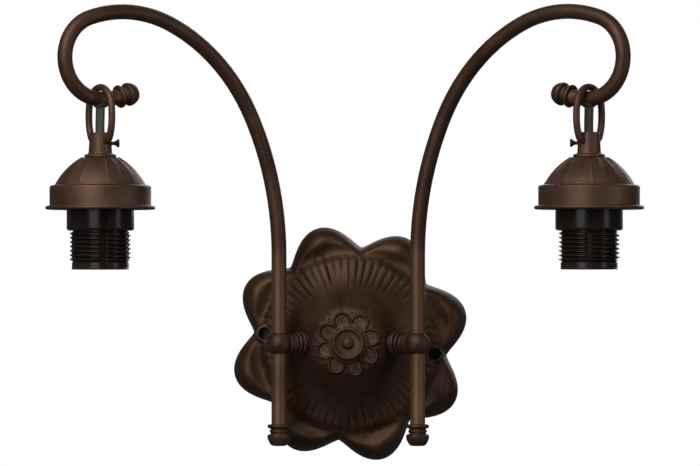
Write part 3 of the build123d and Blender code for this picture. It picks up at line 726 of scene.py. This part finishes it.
def rosette_petal():
    """A small round petal with a curled rim and three ribs, lying on XY, its tip towards X."""
    verts = []
    rows, columns = 26, 64
    for i in range(rows + 1):
        share = i / rows
        rim = math.exp(-((share - 0.84) / 0.115) ** 2)
        edge = max(0.0, (share - 0.93) / 0.07) ** 1.5
        for k in range(columns):
            angle = 2 * math.pi * k / columns
            x = share * SMALL_PETAL[0] * math.cos(angle)
            y = share * SMALL_PETAL[1] * math.sin(angle)
            height = FACE_H + CURL_H * rim - EDGE_DROP * edge
            outward = 0.5 + 0.5 * math.tanh((x + 1.5) / 1.2)
            # Four grooves that fan out leave three ribs
            for line in (-1.55, -0.52, 0.52, 1.55):
                fan = line * (1 + 0.10 * x)
                height -= RIB_DEPTH * math.exp(-((y - fan) / 0.25) ** 2) * outward * (1 - rim * 0.75)
            droop = max(0.0, x) ** 2 * 0.012
            verts.append((x, y, height - droop))
    foot = len(verts)
    for k in range(columns):
        angle = 2 * math.pi * k / columns
        verts.append((SMALL_PETAL_FOOT[0] * math.cos(angle), SMALL_PETAL_FOOT[1] * math.sin(angle), -0.5))
    return verts, ring_faces(rows + 2, columns) + [tuple(foot + k for k in range(columns))]


def rosette_sepal():
    """A pointed ribbed leaf between two petals, its tip towards X."""
    verts = []
    rows, columns = 24, 25
    for i in range(rows + 1):
        along = i / rows
        taper = math.sin(math.pi * min(1.0, along * 0.86 + 0.14)) ** 0.6 * (1 - 0.25 * along)
        half = SEPAL_HALF_WIDTH * taper + 0.05
        for k in range(columns):
            across = k / (columns - 1) * 2 - 1
            crown = math.sqrt(max(0.0, 1 - across**2))
            height = -0.6 + (2.9 - 0.9 * along) * crown**0.7
            for line in (-0.5, 0.0, 0.5):
                height -= RIB_DEPTH * math.exp(-((across - line) / 0.13) ** 2) * crown
            verts.append((along * SEPAL_LENGTH, across * half, height))
    ends = [tuple(range(columns)), tuple(rows * columns + k for k in range(columns))]
    return verts, ring_faces(rows + 1, columns) + ends


def make_rosette():
    """The rosette: a stepped hub with a ring of petals and a sepal between each two."""
    parts = [lathe(rounded([
        (NIPPLE_HOLE_R, -0.2), (13.0, -0.2), (13.2, 2.9, 0.8), (11.9, 3.6, 0.5), (11.5, 3.3, 0.3),
        (10.2, 3.98, 0.4), (NIPPLE_HOLE_R, 3.98), (NIPPLE_HOLE_R, -0.2)]), 128)]
    for k in range(PETALS):
        turn = Matrix.Rotation(PETAL_TURN + 2 * math.pi * k / PETALS, 4, "Z")
        half_turn = Matrix.Rotation(PETAL_TURN + 2 * math.pi * (k + 0.5) / PETALS, 4, "Z")
        parts.append(moved(rosette_petal(), turn @ Matrix.Translation((PETAL_RING_R, 0, 0))))
        parts.append(moved(rosette_sepal(), half_turn @ Matrix.Translation((SEPAL_RING_R, 0, 0))))
    piece("rosette_relief", moved(join(*parts), wall_frame(BELL_TOP)), bronze_rosette_painted_lit, "wall_plate",
          ("rosette",), sharp=55.0, weighted=False)


def make_knob():
    """The turned knob: a dished disc with a small boss in its middle."""
    disc = KNOB_DISC
    profile = rounded([
        (0, KNOB_FOOT), (7.5, KNOB_FOOT, 0.3), (7.3, disc, 0.8), (9.2, disc - 0.1, 0.8),
        (10.75, disc + 1.2, 1.1), (10.75, disc + 3.6, 1.2), (9.9, disc + 5.0, 1.0), (8.5, disc + 4.95, 0.9),
        (7.5, disc + 3.7, 0.7), (3.9, disc + 3.4, 0.4), (3.55, disc + 4.2, 0.5), (3.1, disc + 5.3, 1.0),
        (1.8, disc + 5.95, 0.9), (0, disc + 6.1)], 8)
    piece("knob_turned", moved(lathe(profile, 128), wall_frame()), bronze, "knob", ("knob",))


make_rosette()
make_knob()


# Couplings, balls and finials

COUPLING_BORE_R, COUPLING_START, COUPLING_END = 4.9, 9.65, 21.6
COUPLING_RINGS = ((6.3, 1.7, 5.3, 0.9), (7.1, 1.7, 6.1, 0.9), (7.95, 2.2, 6.9, 0.6))
BALL_R, BALL_BORE_R, BALL_HALF_HEIGHT, BALL_STEPS = 8.0, 4.85, 6.55, 40


def ring_stack(rings, start):
    """Profile points of rounded rings along an axis: (radius, length, groove radius, groove length)."""
    points, at = [], start
    for radius, length, groove, gap in rings:
        points += [(radius, at, length * 0.45), (radius, at + length, length * 0.45)]
        at += length
        points += [(groove, at + 0.12, 0.15), (groove, at + gap - 0.12, 0.15)]
        at += gap
    return points


def finial_profile():
    """A finial that plugs into the tube's end and has a collar, a neck and a rounded cap."""
    return rounded([
        (0, -2.5), (3.8, -2.5), (3.8, -0.02), (6.7, 0.0, 0.7), (7.5, 1.2, 0.9), (6.7, 2.45, 0.6),
        (5.8, 2.6, 0.2), (5.35, 2.9, 0.25), (5.35, 3.5, 0.25), (5.95, 3.9, 0.35), (5.95, 4.9, 0.35),
        (5.3, 5.3, 0.25), (5.3, 6.0, 0.3), (6.5, 6.35, 0.35), (7.35, 6.9, 0.5), (7.35, 8.3, 0.8),
        (6.7, 10.6, 1.4), (5.3, 12.9, 1.2), (3.9, 13.7, 0.8), (0, 13.8)], 6)


def make_joint_fittings(name, side):
    """The ringed coupling on the bell, and the bored ball with its neck."""
    frame_in = coupling_frame(side)
    bore = COUPLING_BORE_R
    rings = ring_stack(COUPLING_RINGS, COUPLING_START)
    profile = rounded([(bore, COUPLING_START)] + rings
                      + [(7.9, COUPLING_END, 0.2), (bore, COUPLING_END), (bore, COUPLING_START)])
    piece(name + "_coupling_rings", moved(lathe(profile, 96), frame_in), bronze, "wall_plate",
          (name + "_coupling",))

    opening = math.acos(BALL_BORE_R / BALL_R)
    ball = [(BALL_BORE_R, -BALL_HALF_HEIGHT)]
    for k in range(BALL_STEPS + 1):
        angle = -opening + k / BALL_STEPS * 2 * opening
        ball.append((BALL_R * math.cos(angle), BALL_R * math.sin(angle)))
    ball.append((BALL_BORE_R, BALL_HALF_HEIGHT))
    shell = lathe(ball, 96, closed=True)
    neck = lathe(rounded([
        (bore, 5.6), (6.3, 5.6), (6.0, 7.6, 0.3), (6.0, 9.5, 0.25), (bore, 9.6), (bore, 5.6)]), 72)
    upright = Matrix.Translation((side * ARM_X, ARM_Y, 0))
    piece(name + "_ball_turned", join(moved(shell, upright), moved(neck, frame_in)), bronze, "wall_plate",
          (name + "_ball",))


def make_finials(name, side):
    """The same finial at the arm's foot and at the end of its crook."""
    foot = axes((side * ARM_X, ARM_Y, ARM_FOOT_Z), (1, 0, 0), (0, 0, -1))
    piece(name + "_foot_finial", moved(lathe(finial_profile(), 96), foot), bronze, name + "_arm",
          (name + "_bottom_finial",))
    outward = Vector((side * math.cos(CROOK_ANGLE), -math.sin(CROOK_ANGLE), 0))
    pointing = outward * TIP_OUTWARD + Vector((0, 0, TIP_UP))
    tip = axes((side * TIP[0], TIP[1], TIP[2]), (0, 0, 1), pointing)
    piece(name + "_crook_finial", moved(lathe(finial_profile(), 96), tip), bronze, name + "_arm",
          (name + "_tip_finial",))


# Lamps, with heights from the pin

COLLAR_BORE_R, COLLAR_FOOT, COLLAR_TOP = 4.65, -10.28, 5.28
LINK_HOLE_R = 2.3
THUMB_BELOW_PIN = 1.5
NOTCHES, NOTCH_DEPTH = 20, 0.13
DOME_FLUTES, FLUTE_DEPTH, LEAST_FLUTE = 18, 0.62, 0.04
FLUTE_START_R, FLUTE_FULL_R = 10.0, 13.0
DOME_TOP, DOME_MIDDLE, DOME_FOOT = (12.0, -10.3), (21.8, -18.1), (28.2, -26.9)
COVER_HOLE_R, COVER_WALL = 5.25, 1.25

HOLDER_TOP, HOLDER_STEP, THREAD_END, HOLDER_LIP = -33.0, -56.0, -75.5, -80.3
HOLDER_R, HOLDER_BORE_R, LIP_BORE_R = 21.1, 5.0, 14.9
THREAD_PITCH, THREAD_ROWS = 2.72, 190
THREAD_CREST, THREAD_ROOT = 19.05, 17.2
TOOTH_WIDTH, TOOTH_STEEPNESS = 0.88, 1.3
# Half angles in radians over which each ends softly: the thread's gaps, the strip, the split and its rib
GAP_AT_STRIP, GAP_AT_SPLIT = (0.10, 0.16), (0.11, 0.15)
STRIP_EDGE, SPLIT_EDGE, SPLIT_RIB_EDGE = (0.085, 0.11), (0.075, 0.088), (0.018, 0.034)
STRIP_PROUD, SPLIT_DEPTH, SPLIT_RIB = 0.75, 1.6, 1.3
HOLDER_SKIN_R = 16.8
# What faces the camera on the left and on the right holder is turned by these degrees
HOLDER_TURN = {-1: 10.0, 1: 2.0}

SHELL_LOW, SHELL_HIGH = -78.0, -54.1
SHELL_R, SHELL_INNER_R = 13.7, 13.25
BULB_PITCH, BULB_THREAD_DEPTH = 3.63, 0.22

CORD_HALF_WIDTH, CORD_HALF_THICKNESS, CORD_PINCH = 2.9, 1.5, 0.20
CORD_ROUTE = ((0, 0, 24.6), (0, 0.05, 18.0), (0, 0.35, 10.0), (0, 0.2, 2.0), (0, 0, -4.0), (0, 0, -11.2))


def collar_profile():
    return rounded([
        (COLLAR_BORE_R, COLLAR_FOOT), (9.7, COLLAR_FOOT, 0.2), (10.0, -9.9, 0.3), (10.0, -8.9, 0.5),
        (9.3, -8.35, 0.4), (8.0, -8.15, 0.5), (7.42, -7.4, 0.6), (6.95, 0.0), (6.75, 4.9, 0.3),
        (6.4, COLLAR_TOP, 0.25), (COLLAR_BORE_R, COLLAR_TOP, 0.2), (COLLAR_BORE_R, COLLAR_FOOT)], 6)


def make_collar(name, side):
    """The collar, with the cross hole that takes the link's ends."""
    obj = piece(name + "_collar_turned", moved(lathe(collar_profile(), 96), lamp_frame(side)), bronze_lamp_painted_lit,
                name + "_lamp", (name + "_collar",))
    across = Matrix.Rotation(math.pi / 2, 4, "Y")
    cut_with(obj, [moved(rod(LINK_HOLE_R, -12, 12), lamp_frame(side) @ across)])


def make_thumb_screw(name, side):
    """A small trumpet-shaped screw with a finely notched rim."""
    def notched(radius, height, angle):
        if 10.4 < height < 12.0 and radius > 2.2:
            return radius - NOTCH_DEPTH * (0.5 + 0.5 * math.cos(NOTCHES * angle)), height
        return radius, height

    profile = rounded([
        (0, 5.0), (1.15, 5.0, 0.1), (1.15, 8.6, 0.4), (1.5, 9.6, 0.5), (2.3, 10.45, 0.3), (2.65, 10.7, 0.2),
        (2.65, 11.4, 0.25), (2.3, 11.85, 0.3), (1.5, 12.02, 0.3), (0.9, 11.75, 0.3), (0, 11.7)], 5)
    place = axes((side * LAMP_X, LAMP_Y, PIN_Z - THUMB_BELOW_PIN), (0, 0, 1), (-side, 0, 0))
    piece(name + "_thumb_screw_turned", moved(lathe(profile, 120, warp=notched), place), bronze,
          name + "_thumb_screw", (name + "_thumb_screw",))


def fluted(radius, height, angle):
    """Flat panels between narrow ribs, deepest near the top and gone at the base."""
    top, foot = DOME_TOP[1], DOME_FOOT[1]
    if not foot < height < top or radius < 9.0:
        return radius, height
    down = (top - height) / (top - foot)
    x = (angle * DOME_FLUTES / (2 * math.pi)) % 1.0 * 2 - 1
    scallop = 1 - abs(x) ** 5
    grown = min(1.0, max(0.0, (radius - FLUTE_START_R) / (FLUTE_FULL_R - FLUTE_START_R)))
    depth = FLUTE_DEPTH * grown * (1 - 0.75 * down) + LEAST_FLUTE
    depth *= 1 - ramp(0.93, 1.0, down)
    return radius - depth * scallop * (0.45 + 0.55 * down), height - depth * scallop * (1 - down) * 0.8


def dome_curve(inset, count):
    """Points of the arc through the dome's three places, from its flat top to its foot."""
    ax, ay, bx, by, cx, cy = *DOME_TOP, *DOME_MIDDLE, *DOME_FOOT
    d = 2 * (ax * (by - cy) + bx * (cy - ay) + cx * (ay - by))
    a2, b2, c2 = ax**2 + ay**2, bx**2 + by**2, cx**2 + cy**2
    ux = (a2 * (by - cy) + b2 * (cy - ay) + c2 * (ay - by)) / d
    uy = (a2 * (cx - bx) + b2 * (ax - cx) + c2 * (bx - ax)) / d
    radius = math.hypot(ax - ux, ay - uy) - inset
    first, last = math.atan2(ay - uy, ax - ux), math.atan2(cy - uy, cx - ux)
    return [(ux + radius * math.cos(first + (last - first) * k / count),
             uy + radius * math.sin(first + (last - first) * k / count)) for k in range(count + 1)]


def make_cover(name, side):
    """The dome cover: flat top, fluted arc, banded rim and plain inside."""
    outer = [(COVER_HOLE_R, -10.32), (9.0, -10.32), (10.2, -10.33), (11.2, -10.36)] + dome_curve(0.0, 46)
    band = rounded([
        DOME_FOOT, (28.3, -27.25, 0.25), (30.2, -27.7, 0.8), (31.2, -28.0, 0.6), (31.75, -28.9, 0.6),
        (31.75, -40.0, 0.3), (32.0, -40.5, 0.3), (32.8, -40.45, 0.3), (33.8, -40.6, 0.5),
        (34.5, -41.5, 0.7), (34.2, -42.6, 0.6), (33.1, -43.0, 0.6), (31.2, -42.75, 0.5),
        (30.6, -42.0, 0.6), (30.55, -29.9, 0.8), (29.6, -28.9, 0.7), (27.5, -28.3, 0.5), (26.9, -27.0)], 5)
    inner = dome_curve(COVER_WALL, 30)[::-1] + [(10.8, -11.6), (COVER_HOLE_R, -11.6)]
    profile = outer + band + inner
    cover = lathe(profile, DOME_FLUTES * 20, closed=True, warp=fluted_outside(len(outer), profile))
    piece(name + "_fluted_cover", moved(cover, lamp_frame(side)), bronze_lamp_painted_lit, name + "_lamp",
          (name + "_dome_cover",), sharp=50.0, weighted=False)


def fluted_outside(count, profile):
    """Flutes only the outer skin, the first count points of the profile."""
    outside = set(profile[:count])

    def warp(radius, height, angle):
        return fluted(radius, height, angle) if (radius, height) in outside else (radius, height)
    return warp


def holder_mesh(side):
    """The lamp holder: barrel, moulded thread broken by a split and a plain strip, and plain lip."""
    barrel = rounded([
        (HOLDER_BORE_R, HOLDER_TOP), (19.9, HOLDER_TOP, 1.0), (HOLDER_R, HOLDER_TOP - 1.2, 0.6),
        (HOLDER_R, HOLDER_STEP + 0.9, 0.7), (20.1, HOLDER_STEP, 0.4), (17.5, HOLDER_STEP - 0.02, 0.2)], 5)
    run = HOLDER_STEP - THREAD_END - 0.05
    thread = [(THREAD_ROOT, HOLDER_STEP - 0.05 - run * k / THREAD_ROWS) for k in range(THREAD_ROWS + 1)]
    lip = rounded([
        (THREAD_ROOT, THREAD_END - 0.1), (17.8, -76.0, 0.2), (17.8, -79.5, 0.2), (18.1, -79.8, 0.2),
        (17.9, HOLDER_LIP, 0.2), (15.4, HOLDER_LIP, 0.3), (14.95, -79.7, 0.4), (LIP_BORE_R, -60.0),
        (LIP_BORE_R, -37.2, 0.6), (HOLDER_BORE_R, -37.0), (HOLDER_BORE_R, HOLDER_TOP)], 5)
    thread_rows = set(thread)

    def warp(radius, height, angle):
        # Local X looks to the camera: the split on the left lamp, the plain strip on the right one
        to_front = abs(math.remainder(angle, math.pi))
        to_side = abs(math.remainder(angle - math.pi / 2, math.pi))
        to_split, to_strip = (to_front, to_side) if side < 0 else (to_side, to_front)
        if (radius, height) in thread_rows:
            phase = (height / THREAD_PITCH + angle / (2 * math.pi)) % 1.0
            tooth = min(1.0, max(0.0, TOOTH_STEEPNESS * (1 - abs(phase - 0.5) * 2 / TOOTH_WIDTH)))
            run_in = ramp(HOLDER_STEP - 0.3, HOLDER_STEP - 1.6, height)
            run_out = ramp(THREAD_END - 0.1, THREAD_END + 0.9, height)
            broken = ramp(*GAP_AT_STRIP, to_strip) * ramp(*GAP_AT_SPLIT, to_split)
            radius += (THREAD_CREST - THREAD_ROOT) * tooth * (run_in * run_out * broken)
            radius += STRIP_PROUD * ((1 - ramp(*STRIP_EDGE, to_strip)) * run_in * run_out)
        if radius > HOLDER_SKIN_R:
            radius -= SPLIT_DEPTH * (1 - ramp(*SPLIT_EDGE, to_split))
            radius += SPLIT_RIB * (1 - ramp(*SPLIT_RIB_EDGE, to_split))
        return radius, height

    return lathe(barrel + thread + lip, 540, warp=warp)


def shell_mesh():
    """The bulb's sleeve with its rolled thread."""
    low, high, rows = SHELL_LOW, SHELL_HIGH, 130
    outside = [(SHELL_R, low + 0.5 + (high - low - 0.5) * k / rows) for k in range(rows + 1)]
    inside = [(SHELL_INNER_R, h) for _, h in reversed(outside)]
    flange = [(13.2, low + 0.02), (14.8, low + 0.02), (14.85, low + 0.25), (14.8, low + 0.48),
              (14.0, low + 0.5)]

    def warp(radius, height, angle):
        if radius in (SHELL_R, SHELL_INNER_R) and height < high - 0.3:
            ease = ramp(low + 0.5, low + 2.5, height) * (1 - ramp(high - 2.5, high - 0.4, height))
            wave = math.sin(2 * math.pi * (height / BULB_PITCH + angle / (2 * math.pi)))
            return radius - BULB_THREAD_DEPTH * ease * (1 - wave), height
        return radius, height

    return lathe(inside + flange + outside, 120, closed=True, warp=warp)


def make_holder(name, side):
    """The lamp holder, turned to the camera as in the photograph, and the bulb's sleeve in it."""
    front = math.radians(-90.0 + HOLDER_TURN[side])
    turn = front - math.atan2(math.cos(CROOK_ANGLE), side * math.sin(CROOK_ANGLE))
    piece(name + "_holder_moulded", moved(holder_mesh(side), lamp_frame(side, turn)), phenolic,
          name + "_lamp", (name + "_lamp_holder",), sharp=38.0, weighted=False)
    piece(name + "_shell_rolled", moved(shell_mesh(), lamp_frame(side)), shell_metal, name + "_lamp",
          (name + "_screw_shell",), sharp=45.0, weighted=False)


def cord_section(count=40):
    """Outline of a two-conductor cord: two round lobes joined with a shallow valley."""
    points = []
    for k in range(count):
        angle = 2 * math.pi * k / count
        across = CORD_HALF_WIDTH * math.cos(angle)
        pinch = 1 - CORD_PINCH * math.exp(-(across / 0.55) ** 2)
        lobe = math.copysign(abs(math.sin(angle)) ** 0.75, math.sin(angle))
        points.append((across, lobe * CORD_HALF_THICKNESS * pinch))
    return points


def make_cord(name, side):
    """The cord's stretch from inside the tube through the link into the lamp."""
    place = lamp_frame(side)
    curve = bpy.data.curves.new(name + "_route", "CURVE")
    curve.dimensions = "3D"
    spline = curve.splines.new("NURBS")
    spline.points.add(len(CORD_ROUTE) - 1)
    for point, at in zip(spline.points, CORD_ROUTE):
        point.co = (*(place @ Vector(at) * MM), 1.0)
    spline.use_endpoint_u = True
    spline.order_u = 3
    spline.resolution_u = 12
    guide = bpy.data.objects.new(name + "_route", curve)
    bpy.context.scene.collection.objects.link(guide)
    line = bpy.data.meshes.new_from_object(guide)
    path = [v.co.copy() for v in line.vertices]
    across = Vector((1, 0, 0))
    outline = cord_section()
    verts = []
    for i, point in enumerate(path):
        ahead = (path[min(i + 1, len(path) - 1)] - path[max(i - 1, 0)]).normalized()
        turn = Matrix.Rotation(math.radians(8) * math.sin(i / len(path) * math.pi), 3, ahead)
        x = turn @ (across - ahead * across.dot(ahead)).normalized()
        y = ahead.cross(x)
        verts += [tuple((point + (x * u + y * v) * MM) / MM) for u, v in outline]
    count = len(outline)
    ends = [tuple(range(count)), tuple((len(path) - 1) * count + k for k in range(count))]
    faces = ring_faces(len(path), count) + ends
    bpy.data.objects.remove(guide)
    bpy.data.curves.remove(curve)
    bpy.data.meshes.remove(line)
    obj = piece(name + "_lead", (verts, faces), cord_jacket, name + "_link",
                (name + "_cord",), sharp=60.0, weighted=False)


for name, side in SIDES:
    make_joint_fittings(name, side)
    make_finials(name, side)
    make_collar(name, side)
    make_thumb_screw(name, side)
    make_cover(name, side)
    make_holder(name, side)
    make_cord(name, side)


# Solids that stay, with their finishes
FINISHES = {
    "centre_nipple": zinc, "centre_nut": zinc, "ground_screw": ground_green,
    # The arm and the link take lighter copies of the bronze, painted light.
    "arm_nipple": zinc, "arm_nut": zinc, "arm": bronze_arm_painted_lit, "grommet": rubber, "link": bronze_lamp_painted_lit,
    "lamp_nipple": zinc, "cover_nut": zinc, "contact_carrier": moulding, "centre_contact": contact_brass,
    "terminal_screws": contact_brass,
}
for node_name, obj in nodes.items():
    finish = FINISHES.get(node_name) or FINISHES.get(node_name.partition("_")[2])
    if finish:
        obj.data.materials.clear()
        obj.data.materials.append(finish)
